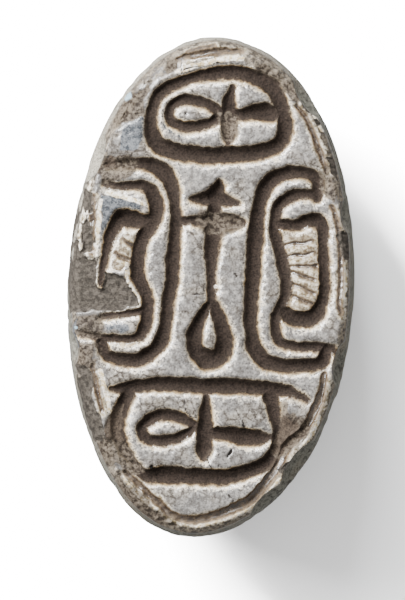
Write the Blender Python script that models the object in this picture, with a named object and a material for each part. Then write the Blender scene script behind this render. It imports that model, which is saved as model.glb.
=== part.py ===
"""Scaraboid: a small seal amulet of glazed steatite, carved from one stone.

It lies on its plain domed back with the carved face up (+Z) and its long axis along Y.
The origin is the middle of the small flat on which the back rests.
"""
import bpy
import bmesh
import math
from mathutils import Matrix, Vector

MM = 0.001

# The stone's widest line runs round it between the domed back and the steep side
LENGTH = 18.0 * MM
WIDTH = 10.3 * MM
DOME_DEPTH = 4.3 * MM
SIDE_HEIGHT = 2.1 * MM
HEIGHT = DOME_DEPTH + SIDE_HEIGHT

# How far the face's edge lies inside the widest line, and the size of its worn corner
FACE_INSET = 0.46 * MM
EDGE_WEAR = 0.2 * MM

# The flat at the bottom of the domed back, on which the stone rests
FLAT_LENGTH = 6.4 * MM
FLAT_WIDTH = 3.4 * MM

# The string bore runs along the stone from end to end, at half its height
BORE_DIAMETER = 1.8 * MM
BORE_HEIGHT = HEIGHT / 2

# The carving is drawn on a grid: this many units along the stone, and this many across it.
# The grid's middle is the middle of the face, x to the right and y up.
DRAWING_LENGTH = 1000.0
DRAWING_WIDTH = 573.0

# A stroke's width is that of its floor. The flanks make the cut this much wider.
FLANK_SHARE = 1.15
# A cut's depth, as a share of its whole width
CUT_DEPTH_SHARE = 0.72
# The cutters' middle line is raised by this, so that it never lies in the face
CUTTER_LIFT = 0.012 * MM
# Spacing of the points along a cut
CUT_STEP = 0.5 * MM
# Every stroke tapers to this width at a pointed end, in drawing units
POINT = 6.0

# The flat break in the left edge: its depth where it starts, its slope, the slab that cuts it
BREAK_DEPTH = 0.14 * MM
BREAK_SLOPE = math.radians(5.0)
BREAK_SLAB = 1.0 * MM

# The hand-cut outline: (waves round the stone, share of the radius, phase in degrees)
OUTLINE_WAVES = [(3, 0.0080, 1.5), (4, 0.0036, -33.0), (5, 0.0030, -30.0)]

# Nicks in the rim: (degrees round the stone, radius, share of the radius that bites in)
RIM_NICKS = [
    (18.0, 0.50 * MM, 0.40),
    (51.0, 0.70 * MM, 0.36),
    (151.0, 0.80 * MM, 0.32),
    (196.0, 0.50 * MM, 0.36),
    (301.0, 0.75 * MM, 0.36),
    (315.0, 0.90 * MM, 0.42),
    (344.0, 0.65 * MM, 0.42),
]
# A nick is longer along the rim and deeper down the side than it bites in
NICK_STRETCH = (1.0, 1.6, 1.5)
NICK_TURN = (0.2, 0.3)

# Fineness of the faceted solid
OUTLINE_SEGMENTS = 72
DOME_RINGS = 7
BORE_SEGMENTS = 20
NICK_SEGMENTS = 12
CUTTER_ROUNDNESS = 2
OVAL_STATIONS = 16

# 1 makes the back a plain half ellipse, and less makes it fuller
DOME_FULLNESS = 0.86


def clear_scene():
    for item in list(bpy.data.objects):
        bpy.data.objects.remove(item, do_unlink=True)


def new_collection(name):
    collection = bpy.data.collections.new(name)
    bpy.context.scene.collection.children.link(collection)
    return collection


def stone_material():
    """Pale grey glazed steatite."""
    material = bpy.data.materials.new("glazed_steatite")
    material.use_nodes = True
    shader = material.node_tree.nodes["Principled BSDF"]
    shader.inputs["Base Color"].default_value = (0.46, 0.44, 0.43, 1.0)
    shader.inputs["Roughness"].default_value = 0.45
    shader.inputs["Metallic"].default_value = 0.0
    return material


def outline_share(angle):
    """The outline's radius at an angle, as a share of the plain ellipse's."""
    return 1.0 + sum(size * math.cos(waves * (angle - math.radians(phase)))
                     for waves, size, phase in OUTLINE_WAVES)


def side_levels():
    """Half width, half length and height of each level, from the flat up to the face."""
    levels = []
    for ring in range(DOME_RINGS + 1):
        turn = math.pi / 2 * ring / DOME_RINGS
        spread = math.sin(turn) ** DOME_FULLNESS
        half_width = FLAT_WIDTH / 2 + (WIDTH - FLAT_WIDTH) / 2 * spread
        half_length = FLAT_LENGTH / 2 + (LENGTH - FLAT_LENGTH) / 2 * spread
        levels.append((half_width, half_length, DOME_DEPTH * (1.0 - math.cos(turn))))
    side = [(0.35 * (FACE_INSET - EDGE_WEAR), HEIGHT - SIDE_HEIGHT / 2),
            (FACE_INSET - EDGE_WEAR, HEIGHT - EDGE_WEAR),
            (FACE_INSET - 0.4 * EDGE_WEAR, HEIGHT - 0.3 * EDGE_WEAR),
            (FACE_INSET, HEIGHT)]
    for inset, height in side:
        levels.append((WIDTH / 2 - inset, LENGTH / 2 - inset, height))
    return levels


def make_body(collection, material):
    """The uncarved stone: a circle drawn up ring by ring, then each ring set to its level."""
    levels = side_levels()
    bm = bmesh.new()
    bmesh.ops.create_circle(bm, cap_ends=True, segments=OUTLINE_SEGMENTS, radius=1.0)
    edges = list(bm.edges)
    for _ in levels[1:]:
        grown = bmesh.ops.extrude_edge_only(bm, edges=edges)["geom"]
        ring = [item for item in grown if isinstance(item, bmesh.types.BMVert)]
        bmesh.ops.translate(bm, verts=ring, vec=(0.0, 0.0, 1.0))
        edges = [edge for edge in bm.edges if edge.is_boundary and edge.verts[0] in ring]
    bmesh.ops.contextual_create(bm, geom=edges)
    for vert in bm.verts:
        angle = math.atan2(vert.co.y, vert.co.x)
        half_width, half_length, height = levels[round(vert.co.z)]
        share = outline_share(angle)
        vert.co = (half_width * share * math.cos(angle), half_length * share * math.sin(angle),
                   height)
    bmesh.ops.recalc_face_normals(bm, faces=bm.faces)
    mesh = bpy.data.meshes.new("scaraboid_body")
    bm.to_mesh(mesh)
    bm.free()
    mesh.materials.append(material)
    body = bpy.data.objects.new("scaraboid_body", mesh)
    collection.objects.link(body)
    return body


def on_face(x, y):
    """A point of the drawing, in metres on the face."""
    return Vector((x / DRAWING_WIDTH * WIDTH, y / DRAWING_LENGTH * LENGTH, 0.0))


def between(before, start, end, after, t):
    """A point on the smooth curve from start to end that its two neighbours also shape."""
    return 0.5 * (2.0 * start + (end - before) * t
                  + (2.0 * before - 5.0 * start + 4.0 * end - after) * t ** 2
                  + (3.0 * start - before - 3.0 * end + after) * t ** 3)


def smooth_path(points, closed):
    """Places and widths, a step apart, along a smooth curve through a stroke's points."""
    places = [on_face(x, y) for x, y, width in points]
    widths = [width / DRAWING_LENGTH * LENGTH * FLANK_SHARE for x, y, width in points]
    count = len(points)
    path = []
    for index in range(count if closed else count - 1):
        if closed:
            near = [(index + shift) % count for shift in (-1, 0, 1, 2)]
        else:
            near = [min(max(index + shift, 0), count - 1) for shift in (-1, 0, 1, 2)]
        start, end = near[1:3]
        steps = max(1, round((places[end] - places[start]).length / CUT_STEP))
        for step in range(steps):
            t = step / steps
            place = between(*(places[station] for station in near), t)
            path.append((place, widths[start] * (1.0 - t) + widths[end] * t))
    if not closed:
        path.append((places[-1], widths[-1]))
    return path


def finish_cutter(cutter):
    cutter.display_type = "WIRE"
    cutter.hide_render = True


def mesh_of_curve(curve_object, collection):
    """A closed mesh in place of a curve: its caps are welded to its wall."""
    bpy.context.view_layer.update()
    evaluated = curve_object.evaluated_get(bpy.context.evaluated_depsgraph_get())
    mesh = bpy.data.meshes.new_from_object(evaluated)
    bm = bmesh.new()
    bm.from_mesh(mesh)
    bmesh.ops.remove_doubles(bm, verts=bm.verts, dist=1e-7)
    bmesh.ops.recalc_face_normals(bm, faces=bm.faces)
    bm.to_mesh(mesh)
    bm.free()
    name = curve_object.name
    place = curve_object.matrix_world.copy()
    bpy.data.objects.remove(curve_object, do_unlink=True)
    cutter = bpy.data.objects.new(name, mesh)
    cutter.matrix_world = place
    collection.objects.link(cutter)
    finish_cutter(cutter)
    return cutter


def cut(collection, name, points, closed=False):
    """One cut of the graver: a tube along the stroke, half sunk in the face."""
    path = smooth_path(points, closed)
    curve = bpy.data.curves.new(name, "CURVE")
    curve.dimensions = "3D"
    curve.bevel_depth = 1.0
    curve.bevel_resolution = CUTTER_ROUNDNESS
    curve.use_fill_caps = not closed
    spline = curve.splines.new("POLY")
    spline.use_cyclic_u = closed
    spline.points.add(len(path) - 1)
    for point, (place, width) in zip(spline.points, path):
        point.co = (place.x, place.y, 0.0, 1.0)
        point.radius = width / 2
    item = bpy.data.objects.new(name, curve)
    collection.objects.link(item)
    tube = mesh_of_curve(item, collection)
    tube.data.transform(Matrix.Diagonal((1.0, 1.0, 2.0 * CUT_DEPTH_SHARE, 1.0)))
    tube.data.transform(Matrix.Translation((0.0, 0.0, HEIGHT + CUTTER_LIFT)))


def oval_stroke(middle, half_width, half_height, squareness, tilt, width_above, width_below):
    """A stretched circle, squarer as squareness grows past 2, and tilted by some degrees."""
    lean = Matrix.Rotation(math.radians(tilt), 2)
    points = []
    for station in range(OVAL_STATIONS):
        turn = 2 * math.pi * station / OVAL_STATIONS
        across = math.copysign(abs(math.cos(turn)) ** (2 / squareness), math.cos(turn))
        up = math.copysign(abs(math.sin(turn)) ** (2 / squareness), math.sin(turn))
        place = Vector(middle) + lean @ Vector((half_width * across, half_height * up))
        below = (1.0 - math.sin(turn)) / 2
        points.append((place.x, place.y, width_above * (1.0 - below) + width_below * below))
    return points


def carve_ankh(collection, name, middle, loop_middle, loop_half_width, loop_half_height,
               bar_top, bar_bottom, bar_width, arm_end, arm_width):
    """A cross that lies on its side, with its looped top to the left."""
    x, y = middle
    taper = 22.0
    cut(collection, name + "_loop",
        oval_stroke(loop_middle, loop_half_width, loop_half_height, squareness=2.0, tilt=5.0,
                    width_above=20.0, width_below=20.0), closed=True)
    cut(collection, name + "_bar", [
        (x, bar_top, POINT), (x, bar_top - taper, 0.7 * bar_width), (x, y, bar_width),
        (x, bar_bottom + taper, 0.8 * bar_width), (x, bar_bottom, POINT)])
    cut(collection, name + "_arm", [
        (x, y, 0.6 * arm_width), ((x + arm_end) / 2, y + 2.0, 0.85 * arm_width),
        (arm_end - taper, y + 3.0, arm_width), (arm_end, y, 0.5 * arm_width)])


def carve_upper_oval(collection):
    cut(collection, "upper_oval_ring",
        oval_stroke((-2.0, 345.0), 133.0, 80.0, squareness=2.75, tilt=3.0,
                    width_above=23.0, width_below=31.0), closed=True)
    carve_ankh(collection, "upper_ankh", middle=(17.0, 350.0), loop_middle=(-55.0, 343.0),
               loop_half_width=46.0, loop_half_height=27.0, bar_top=402.0, bar_bottom=288.0,
               bar_width=27.0, arm_end=114.0, arm_width=32.0)


def carve_lower_oval(collection):
    """The lower oval hangs from a longer cut that lies over it like a lid."""
    cut(collection, "lower_oval_ring",
        oval_stroke((-9.0, -286.0), 160.0, 89.0, squareness=2.6, tilt=2.5,
                    width_above=26.0, width_below=31.0), closed=True)
    cut(collection, "lower_oval_lid", [
        (-184.0, -211.0, POINT), (-150.0, -206.0, 21.0), (-60.0, -196.0, 27.0),
        (50.0, -194.0, 27.0), (140.0, -195.0, 27.0), (178.0, -202.0, 14.0),
        (204.0, -213.0, POINT)])
    carve_ankh(collection, "lower_ankh", middle=(4.0, -292.0), loop_middle=(-70.0, -285.0),
               loop_half_width=50.0, loop_half_height=25.0, bar_top=-216.0, bar_bottom=-338.0,
               bar_width=30.0, arm_end=136.0, arm_width=31.0)


def carve_nefer(collection):
    """A round body below, and a long stem that ends in two cross strokes and a point."""
    cut(collection, "nefer_top", [
        (-50.0, 173.0, POINT), (-22.0, 177.0, 32.0), (4.0, 180.0, 48.0), (26.0, 174.0, 30.0),
        (46.0, 171.0, POINT)])
    cut(collection, "nefer_point", [
        (4.0, 180.0, 38.0), (6.0, 202.0, 22.0), (6.0, 216.0, POINT)])
    cut(collection, "nefer_bar", [
        (-68.0, 130.0, POINT), (-25.0, 130.0, 16.0), (0.0, 132.0, 29.0), (36.0, 132.0, 30.0),
        (58.0, 133.0, 15.0)])
    cut(collection, "nefer_stem", [
        (0.0, 165.0, 24.0), (0.0, 110.0, 33.0), (-2.0, 60.0, 24.0), (0.0, 0.0, 15.0),
        (2.0, -32.0, 13.0)])
    cut(collection, "nefer_drop", [
        (4.0, -32.0, 15.0), (-14.0, -58.0, 24.0), (-27.0, -98.0, 29.0), (-19.0, -130.0, 33.0),
        (4.0, -143.0, 39.0), (28.0, -131.0, 35.0), (34.0, -98.0, 29.0), (21.0, -58.0, 24.0)],
        closed=True)


def carve_left_snake(collection):
    cut(collection, "left_snake_back", [
        (-216.0, 231.0, POINT), (-170.0, 238.0, 20.0), (-125.0, 235.0, 27.0),
        (-92.0, 210.0, 28.0), (-80.0, 165.0, 18.0), (-76.0, 110.0, 24.0), (-78.0, 40.0, 24.0),
        (-83.0, -40.0, 23.0), (-88.0, -100.0, 24.0), (-116.0, -141.0, 27.0),
        (-150.0, -153.0, 25.0), (-196.0, -147.0, 21.0), (-210.0, -120.0, 18.0)])
    cut(collection, "left_snake_front", [
        (-222.0, 193.0, POINT), (-160.0, 195.0, 18.0), (-125.0, 180.0, 26.0),
        (-116.0, 143.0, 26.0), (-140.0, 95.0, 25.0), (-148.0, 40.0, 26.0), (-128.0, -15.0, 22.0),
        (-126.0, -75.0, 24.0), (-146.0, -110.0, 15.0), (-200.0, -112.0, 14.0),
        (-252.0, -108.0, POINT)])
    cut(collection, "left_snake_hood", [
        (-128.0, 125.0, 22.0), (-160.0, 126.0, 31.0), (-188.0, 126.0, 30.0), (-204.0, 92.0, 20.0),
        (-214.0, 45.0, 12.0), (-217.0, -4.0, POINT)])
    cut(collection, "left_snake_tail", [
        (-134.0, -54.0, 18.0), (-175.0, -64.0, 8.0), (-214.0, -73.0, POINT)])


def carve_right_snake(collection):
    cut(collection, "right_snake_back", [
        (204.0, 190.0, 18.0), (201.0, 226.0, 24.0), (165.0, 238.0, 24.0), (126.0, 229.0, 26.0),
        (97.0, 203.0, 28.0), (86.0, 150.0, 26.0), (83.0, 90.0, 30.0), (83.0, 0.0, 27.0),
        (84.0, -70.0, 24.0), (95.0, -120.0, 27.0), (130.0, -146.0, 28.0), (190.0, -146.0, 24.0),
        (228.0, -138.0, 26.0), (238.0, -110.0, 22.0)])
    cut(collection, "right_snake_front", [
        (202.0, 192.0, 16.0), (160.0, 193.0, 20.0), (127.0, 170.0, 23.0), (118.0, 130.0, 20.0),
        (138.0, 65.0, 21.0), (149.0, 15.0, 19.0), (134.0, -50.0, 19.0), (138.0, -93.0, 20.0),
        (170.0, -107.0, 21.0), (250.0, -110.0, 14.0)])
    cut(collection, "right_snake_hood", [
        (126.0, 135.0, 18.0), (160.0, 134.0, 21.0), (198.0, 146.0, 29.0), (217.0, 115.0, 18.0),
        (223.0, 50.0, 20.0), (226.0, -15.0, 24.0), (192.0, -56.0, 33.0), (150.0, -46.0, 23.0)])


def carve_ribs(collection, name, count, top, step, half_length, width, slope_change):
    """Short strokes one below the other, each moved and turned a little from the last."""
    for rib in range(count):
        x = top[0] + step[0] * rib
        y = top[1] + step[1] * rib
        rise = slope_change * rib - POINT
        cut(collection, "%s_%d" % (name, rib), [
            (x - half_length, y - rise, POINT), (x, y, width), (x + half_length, y + rise, POINT)])


def carve_borders(collection):
    """The line that runs inside the face's edge, in the stretches that are left of it."""
    cut(collection, "border_top", [
        (-88.0, 449.0, POINT), (-50.0, 460.0, 12.0), (-12.0, 469.0, 13.0), (36.0, 472.0, POINT)])
    cut(collection, "border_right_top", [
        (152.0, 368.0, POINT), (178.0, 335.0, 11.0), (203.0, 280.0, 10.0), (221.0, 244.0, POINT)])
    cut(collection, "border_right", [
        (232.0, 172.0, POINT), (249.0, 120.0, 11.0), (257.0, 50.0, 11.0), (257.0, -10.0, 10.0),
        (263.0, -38.0, POINT)])
    cut(collection, "border_bottom", [
        (-150.0, -372.0, 10.0), (-100.0, -418.0, 16.0), (-46.0, -457.0, 14.0),
        (5.0, -462.0, 15.0), (60.0, -442.0, 18.0), (112.0, -408.0, 20.0), (150.0, -352.0, 18.0),
        (196.0, -280.0, 15.0), (227.0, -220.0, 15.0), (241.0, -163.0, POINT)])
    cut(collection, "border_left_top", [
        (-240.0, 166.0, POINT), (-237.0, 115.0, 13.0), (-236.0, 62.0, POINT)])
    cut(collection, "border_left_bottom", [
        (-226.0, -168.0, POINT), (-216.0, -212.0, 12.0), (-202.0, -258.0, POINT)])


def make_break(collection):
    """The flat break at the left edge: a slab that slopes down to the outside."""
    innermost = (-142.0, -28.0)
    outline = [(-300.0, 60.0), (-222.0, 26.0), (-170.0, 12.0), (-160.0, -6.0), innermost,
               (-146.0, -44.0), (-172.0, -54.0), (-300.0, -62.0)]
    inner = on_face(*innermost)
    curve = bpy.data.curves.new("left_break", "CURVE")
    curve.dimensions = "2D"
    curve.fill_mode = "BOTH"
    curve.extrude = BREAK_SLAB / 2
    spline = curve.splines.new("POLY")
    spline.use_cyclic_u = True
    spline.points.add(len(outline) - 1)
    for point, (x, y) in zip(spline.points, outline):
        place = on_face(x, y) - inner
        point.co = (place.x, place.y, 0.0, 1.0)
    item = bpy.data.objects.new("left_break", curve)
    collection.objects.link(item)
    item.rotation_euler.y = -BREAK_SLOPE
    item.location = (inner.x, inner.y, HEIGHT - BREAK_DEPTH + BREAK_SLAB / 2)
    mesh_of_curve(item, collection)


def make_nicks(collection):
    """Small scoops out of the edge of the face and the side below it."""
    for number, (degrees, radius, bite) in enumerate(RIM_NICKS):
        angle = math.radians(degrees)
        share = outline_share(angle)
        rim = Vector((WIDTH / 2 * share * math.cos(angle), LENGTH / 2 * share * math.sin(angle), 0.0))
        outward = Vector((math.cos(angle) / WIDTH, math.sin(angle) / LENGTH, 0.0)).normalized()
        name = "rim_nick_%d" % number
        bm = bmesh.new()
        bmesh.ops.create_uvsphere(bm, u_segments=NICK_SEGMENTS, v_segments=NICK_SEGMENTS // 2,
                                  radius=radius)
        mesh = bpy.data.meshes.new(name)
        bm.to_mesh(mesh)
        bm.free()
        nick = bpy.data.objects.new(name, mesh)
        nick.location = rim + outward * (radius * (1.0 - bite) - FACE_INSET / 2)
        nick.location.z = HEIGHT - radius / 2
        nick.rotation_euler = (*NICK_TURN, math.atan2(outward.y, outward.x))
        nick.scale = NICK_STRETCH
        collection.objects.link(nick)
        finish_cutter(nick)


def make_bore(collection):
    bpy.ops.mesh.primitive_cylinder_add(vertices=BORE_SEGMENTS, radius=BORE_DIAMETER / 2,
                                        depth=2 * LENGTH, location=(0.0, 0.0, BORE_HEIGHT),
                                        rotation=(math.pi / 2, 0.0, 0.0))
    bore = bpy.context.object
    bore.name = "string_bore"
    for owner in list(bore.users_collection):
        owner.objects.unlink(bore)
    collection.objects.link(bore)
    finish_cutter(bore)


def main():
    clear_scene()
    parts = new_collection("scaraboid")
    cutters = new_collection("cutters")
    body = make_body(parts, stone_material())
    make_bore(cutters)
    carve_upper_oval(cutters)
    carve_nefer(cutters)
    carve_left_snake(cutters)
    carve_ribs(cutters, "left_rib", count=2, top=(-169.0, 79.0), step=(-9.0, -29.0),
               half_length=15.0, width=9.0, slope_change=0.0)
    carve_right_snake(cutters)
    carve_ribs(cutters, "right_rib", count=5, top=(173.0, 96.0), step=(4.0, -22.0),
               half_length=25.0, width=10.0, slope_change=2.5)
    carve_lower_oval(cutters)
    carve_borders(cutters)
    make_break(cutters)
    make_nicks(cutters)
    carving = body.modifiers.new("carving", "BOOLEAN")
    carving.operation = "DIFFERENCE"
    carving.solver = "EXACT"
    carving.operand_type = "COLLECTION"
    carving.collection = cutters
    body.data.shade_smooth()
    body.data.set_sharp_from_angle(angle=math.radians(40.0))


main()
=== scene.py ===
"""Looks of the scaraboid: a seal amulet of glazed steatite, worn, chipped and full of old earth."""
import bpy
import bmesh
import math
import numpy as np
from mathutils import Matrix, Vector


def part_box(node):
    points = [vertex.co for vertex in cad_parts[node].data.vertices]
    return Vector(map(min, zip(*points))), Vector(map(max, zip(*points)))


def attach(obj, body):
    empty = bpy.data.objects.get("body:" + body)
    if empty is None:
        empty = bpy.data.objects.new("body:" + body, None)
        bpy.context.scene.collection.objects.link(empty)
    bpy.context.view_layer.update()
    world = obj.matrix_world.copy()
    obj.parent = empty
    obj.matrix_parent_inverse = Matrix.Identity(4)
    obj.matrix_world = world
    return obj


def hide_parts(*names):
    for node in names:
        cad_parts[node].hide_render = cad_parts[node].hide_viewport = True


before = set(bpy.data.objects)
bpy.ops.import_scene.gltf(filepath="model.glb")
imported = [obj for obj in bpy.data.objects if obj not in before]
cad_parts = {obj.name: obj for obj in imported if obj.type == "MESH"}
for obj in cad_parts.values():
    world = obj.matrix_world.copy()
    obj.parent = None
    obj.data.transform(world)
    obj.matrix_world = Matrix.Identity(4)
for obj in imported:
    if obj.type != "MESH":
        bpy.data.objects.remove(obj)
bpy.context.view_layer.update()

MM = 0.001
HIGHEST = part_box("scaraboid_body")[1]

# The stone's sizes, as it was cut
LENGTH = 18.0 * MM
WIDTH = 10.3 * MM
HEIGHT = HIGHEST.z
SIDE_HEIGHT = 2.1 * MM
DOME_DEPTH = HEIGHT - SIDE_HEIGHT
FACE_INSET = 0.46 * MM
EDGE_WEAR = 0.2 * MM
FLAT_LENGTH = 6.4 * MM
FLAT_WIDTH = 3.4 * MM
BORE_RADIUS = 1.8 * MM / 2
BORE_HEIGHT = HEIGHT / 2
DOME_FULLNESS = 0.86
OUTLINE_WAVES = [(3, 0.008, 1.5), (4, 0.0036, -33.0), (5, 0.003, -30.0)]

# The carving is drawn on a grid of 1000 units along the stone and 573 across it. POINT is the
# width of a stroke's thin end.
FACE_SCALE = 0.992
UNIT = FACE_SCALE * LENGTH / 1000.0
UNIT_ACROSS = FACE_SCALE * WIDTH / 573.0
POINT = 6.0

# A stroke's width is measured between its lips, and most of each flank lies inside it. The tool
# leaned, so the flank on the lower right slopes more gently than the other.
FLANK = 7.0
LINE_FLANK = 3.0
CRACK_FLANK = 0.9
FLANK_LEAN = 0.55
FLANK_INSIDE = 0.45
NARROWEST_FLOOR = 0.25
LEAN_WAY = (0.6, -0.8)
FLANK_RISE = (-0.25, 1.1)
CUT_DEPTH_SHARE = 0.5
FLOOR_BOWL = 0.12
RIDGE_FLANK = 4.0
EDGE_REACH = 14.0
# On the flank that faces the lamps a lip's edge value reaches further out, which widens the painted cream
# highlight there and the lip's roll.
LIP_LEAN = 0.62

# The flat break at the left, which slopes down to the outside and runs on down the side
BREAK_EDGE = -142.0
BREAK_DEPTH = 0.14 * MM
BREAK_SLOPE = math.tan(math.radians(5.0))
BREAK_ROUGHNESS = 0.03 * MM
BREAK_WAVE = 0.04 * MM
BREAK_DROP = 0.5 * MM
BREAK_MIDDLE_DROP = 1.1 * MM
BREAK_DROP_STRAY = 0.3 * MM
BREAK_FADE = 0.9 * MM
BREAK_LOWER_RISE = (-90.0, 40.0)
BREAK_UPPER_RISE = (245.0, 110.0)

# Small bites out of the rim: angle, radius, and how much of the radius bites into the stone. The
# way in which they push it is given as outward, along the rim and up.
RIM_NICKS = [
    (18, 0.5 * MM, 0.4), (51, 0.7 * MM, 0.36), (151, 0.8 * MM, 0.32), (196, 0.5 * MM, 0.36),
    (301, 0.75 * MM, 0.36), (315, 0.9 * MM, 0.42), (344, 0.65 * MM, 0.42)]
NICK_STRETCH = 1.55
NICK_WAY = np.array((-0.85, 0.0, -0.53))

# Cells of the face's mesh, and rings below it on each stretch of the side and on the back
CELLS_ACROSS = 194
CELLS_ALONG = 340
SPAN_RINGS = 2
DOME_RINGS = 14
FLAT_RINGS = 3
BORE_SEGMENTS = 48

# A trace narrower than drawn, so that no point of the finer mesh passes the CAD solid's box
SHRINK = 0.9993

# Points up to this share of the bore's radius lie on its wall
BORE_WALL = 1.003

# Hollows and lumps of the surface, all inwards of the sound stone. ROLL_REACH is how far a cut's
# rolled lip reaches, in drawing units.
LAND_WAVE = 0.018 * MM
SIDE_WAVE = 0.06 * MM
LAND_PITS = 0.022 * MM
FLOOR_LUMPS = 0.06 * MM
LUMPY_DEPTHS = (0.05 * MM, 0.25 * MM)
ROLL_DEPTH = 0.11 * MM
LINE_ROLL_DEPTH = 0.35 * ROLL_DEPTH
ROLL_REACH = 7.0
PANEL_SINK = 0.07 * MM
SLOPE_SINK = 0.09 * MM
RIM_SINK = 0.05 * MM
RIM_ROUGHNESS = 0.04 * MM
STAIN_SINK = 0.035 * MM
FILLED_DEPTH = 0.17 * MM
BARE_DEPTH = 0.15 * MM
WORN_ROUGHNESS = 0.05 * MM
MOUTH_WEAR = 0.1 * MM
MOUTH_REACH = 0.2 * MM
MOUTH_FACING = 0.3

# Lumps of the noises that shape the surface. The slivers are drawn out along the stone.
RAGGED_SIZE = 0.42 * MM
NIBBLED_SIZE = 0.15 * MM
STRAY_SIZE = 0.7 * MM
SLIVER_SIZE = 0.36 * MM
SLIVER_SQUASH = (1.0, 0.6, 1.0)
ROUGH_SIZE = 0.2 * MM
PIT_SIZE = 0.17 * MM
BREAK_WAVE_SIZE = 0.8 * MM
LAND_WAVE_SIZE = 1.4 * MM
DENT_SIZE = 1.1 * MM

# How far the noises bend the edges of the cuts and of the stains, in drawing units
RAGGED_REACH = 3.0
NIBBLED_REACH = 1.3
STRAY_REACH = 13.0

# Where the worn ring starts and is full, as shares of the way out to the outline
RIM_START = 0.875
RIM_FULL = 0.955
RIM_STRAY = 0.03

# Heights between which the face's relief and its looks set in, from the side upwards
RELIEF_HEIGHTS = (HEIGHT - 0.9 * MM, HEIGHT - 0.1 * MM)
LOOKS_HEIGHTS = (HEIGHT - 0.6 * MM, HEIGHT - 0.15 * MM)

# A pale crust is painted thickest on the side that faces this way, towards the lamps: partly crust, partly
# painted light where the lamps fall on the side
CRUST_AND_LIGHT_WAY = (-0.5, 0.87)


def outline_share(angle):
    """The outline's radius at an angle, as a share of the plain ellipse's."""
    return 1.0 + sum(size * np.cos(waves * (angle - math.radians(phase)))
                     for waves, size, phase in OUTLINE_WAVES)


def side_levels():
    """Half width, half length and height of each ring, from the face down to the flat."""
    # Insets and heights down the worn corner and the side, which swells out downwards
    below_corner = FACE_INSET - EDGE_WEAR
    profile = [(FACE_INSET, HEIGHT), (FACE_INSET - 0.4 * EDGE_WEAR, HEIGHT - 0.3 * EDGE_WEAR),
               (below_corner, HEIGHT - EDGE_WEAR), (0.55 * below_corner, HEIGHT - 0.3 * SIDE_HEIGHT),
               (0.3 * below_corner, HEIGHT - 0.6 * SIDE_HEIGHT), (0.0, DOME_DEPTH)]
    levels = []
    for (inset_a, height_a), (inset_b, height_b) in zip(profile, profile[1:]):
        for step in range(SPAN_RINGS):
            share = step / SPAN_RINGS
            inset = inset_a + (inset_b - inset_a) * share
            levels.append((WIDTH / 2 - inset, LENGTH / 2 - inset,
                           height_a + (height_b - height_a) * share))
    for ring in range(DOME_RINGS + 1):
        turn = math.pi / 2 * (1.0 - ring / DOME_RINGS)
        spread = math.sin(turn) ** DOME_FULLNESS
        levels.append((FLAT_WIDTH / 2 + (WIDTH - FLAT_WIDTH) / 2 * spread,
                       FLAT_LENGTH / 2 + (LENGTH - FLAT_LENGTH) / 2 * spread,
                       DOME_DEPTH * (1.0 - math.cos(turn))))
    for ring in range(1, FLAT_RINGS + 1):
        share = 1.0 - ring / (FLAT_RINGS + 1)
        levels.append((FLAT_WIDTH / 2 * share, FLAT_LENGTH / 2 * share, 0.0))
    return levels


def add_object(name, data):
    thing = bpy.data.objects.new(name, data)
    bpy.context.scene.collection.objects.link(thing)
    return thing


def add_shape(name, bm):
    """An object with the mesh that a bmesh holds."""
    mesh = bpy.data.meshes.new(name)
    bm.to_mesh(mesh)
    bm.free()
    return add_object(name, mesh)


def stone_blank():
    """The smooth uncarved stone: a grid whose edge is drawn down ring by ring and closed below."""
    levels = side_levels()
    bm = bmesh.new()
    bmesh.ops.create_grid(bm, x_segments=CELLS_ACROSS, y_segments=CELLS_ALONG, size=1.0)
    rim = [edge for edge in bm.edges if edge.is_boundary]
    for _ in levels[1:]:
        grown = bmesh.ops.extrude_edge_only(bm, edges=rim)["geom"]
        ring = [item for item in grown if isinstance(item, bmesh.types.BMVert)]
        bmesh.ops.translate(bm, verts=ring, vec=(0.0, 0.0, -1.0))
        rim = [item for item in grown
               if isinstance(item, bmesh.types.BMEdge) and item.is_boundary]
    bmesh.ops.contextual_create(bm, geom=rim)
    blank = add_shape("stone_blank", bm)
    across, along, level = read_vectors(blank.data.vertices, "co").T
    disc_x = across * np.sqrt(1.0 - along ** 2 / 2)
    disc_y = along * np.sqrt(1.0 - across ** 2 / 2)
    share = outline_share(np.arctan2(disc_y, disc_x)) * SHRINK
    half_width, half_length, height = np.array(levels)[np.rint(-level).astype(int)].T
    write_points(blank.data, np.stack([half_width * share * disc_x,
                                       half_length * share * disc_y, height], axis=1))
    return blank


def read_vectors(items, name):
    values = np.empty(len(items) * 3)
    items.foreach_get(name, values)
    return values.reshape(-1, 3)


def write_points(mesh, place):
    mesh.vertices.foreach_set("co", place.ravel())
    mesh.update()


def bored_mesh(blank):
    """The blank's mesh with the string bore drilled along it."""
    bm = bmesh.new()
    bmesh.ops.create_cone(bm, cap_ends=True, segments=BORE_SEGMENTS, radius1=BORE_RADIUS,
                          radius2=BORE_RADIUS, depth=1.2 * LENGTH)
    bmesh.ops.rotate(bm, verts=bm.verts, matrix=Matrix.Rotation(math.pi / 2, 3, "X"))
    bmesh.ops.translate(bm, verts=bm.verts, vec=(0.0, 0.0, BORE_HEIGHT))
    drill = add_shape("drill", bm)
    boring = blank.modifiers.new("boring", "BOOLEAN")
    boring.operation = "DIFFERENCE"
    boring.solver = "MANIFOLD"
    boring.object = drill
    ready = blank.evaluated_get(bpy.context.evaluated_depsgraph_get())
    bored = bpy.data.meshes.new_from_object(ready)
    bored.name = "carved_stone"
    bpy.data.objects.remove(drill)
    bpy.data.objects.remove(blank)
    return bored


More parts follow.
